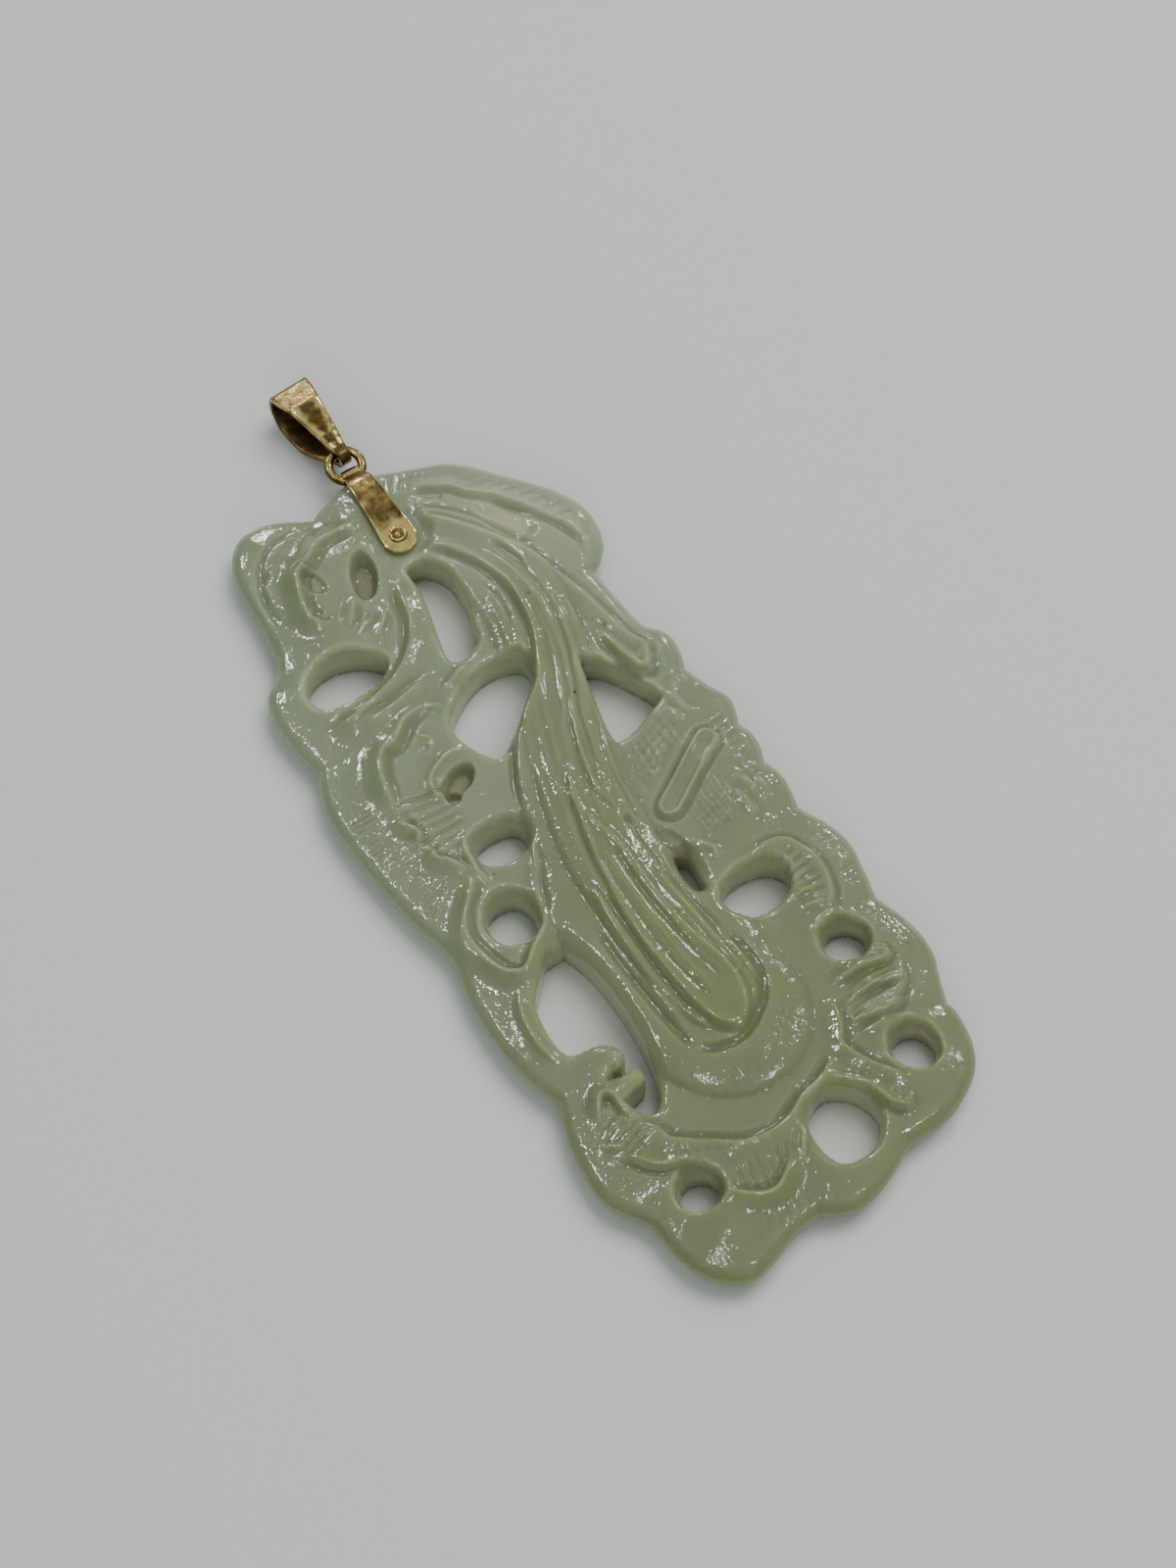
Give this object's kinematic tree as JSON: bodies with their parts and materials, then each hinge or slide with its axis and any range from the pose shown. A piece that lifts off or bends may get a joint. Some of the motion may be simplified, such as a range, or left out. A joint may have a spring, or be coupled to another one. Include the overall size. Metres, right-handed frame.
{
  "type": "jade pendant carving",
  "caption": "Flat pierced jade pendant carved as a cabbage among curling leaves, with a riveted gold strap, a wire ring and a tapered bail.",
  "frame": {"origin": "middle of the footprint of the pendant lying on its back, on the table", "axes": "+Y towards the bail along the length, +X across the width, +Z out of the carved face"},
  "size_m": [0.0286, 0.0746, 0.0056],
  "materials": {
    "jade": "polished, milky translucent pale green jade",
    "gold": "worn polished gold with brown patina"
  },
  "bodies": {
    "root": {"jade_carving": "jade", "strap": "gold", "rivet": "gold", "link_ring": "gold", "bail": "gold"}
  },
  "joints": []
}
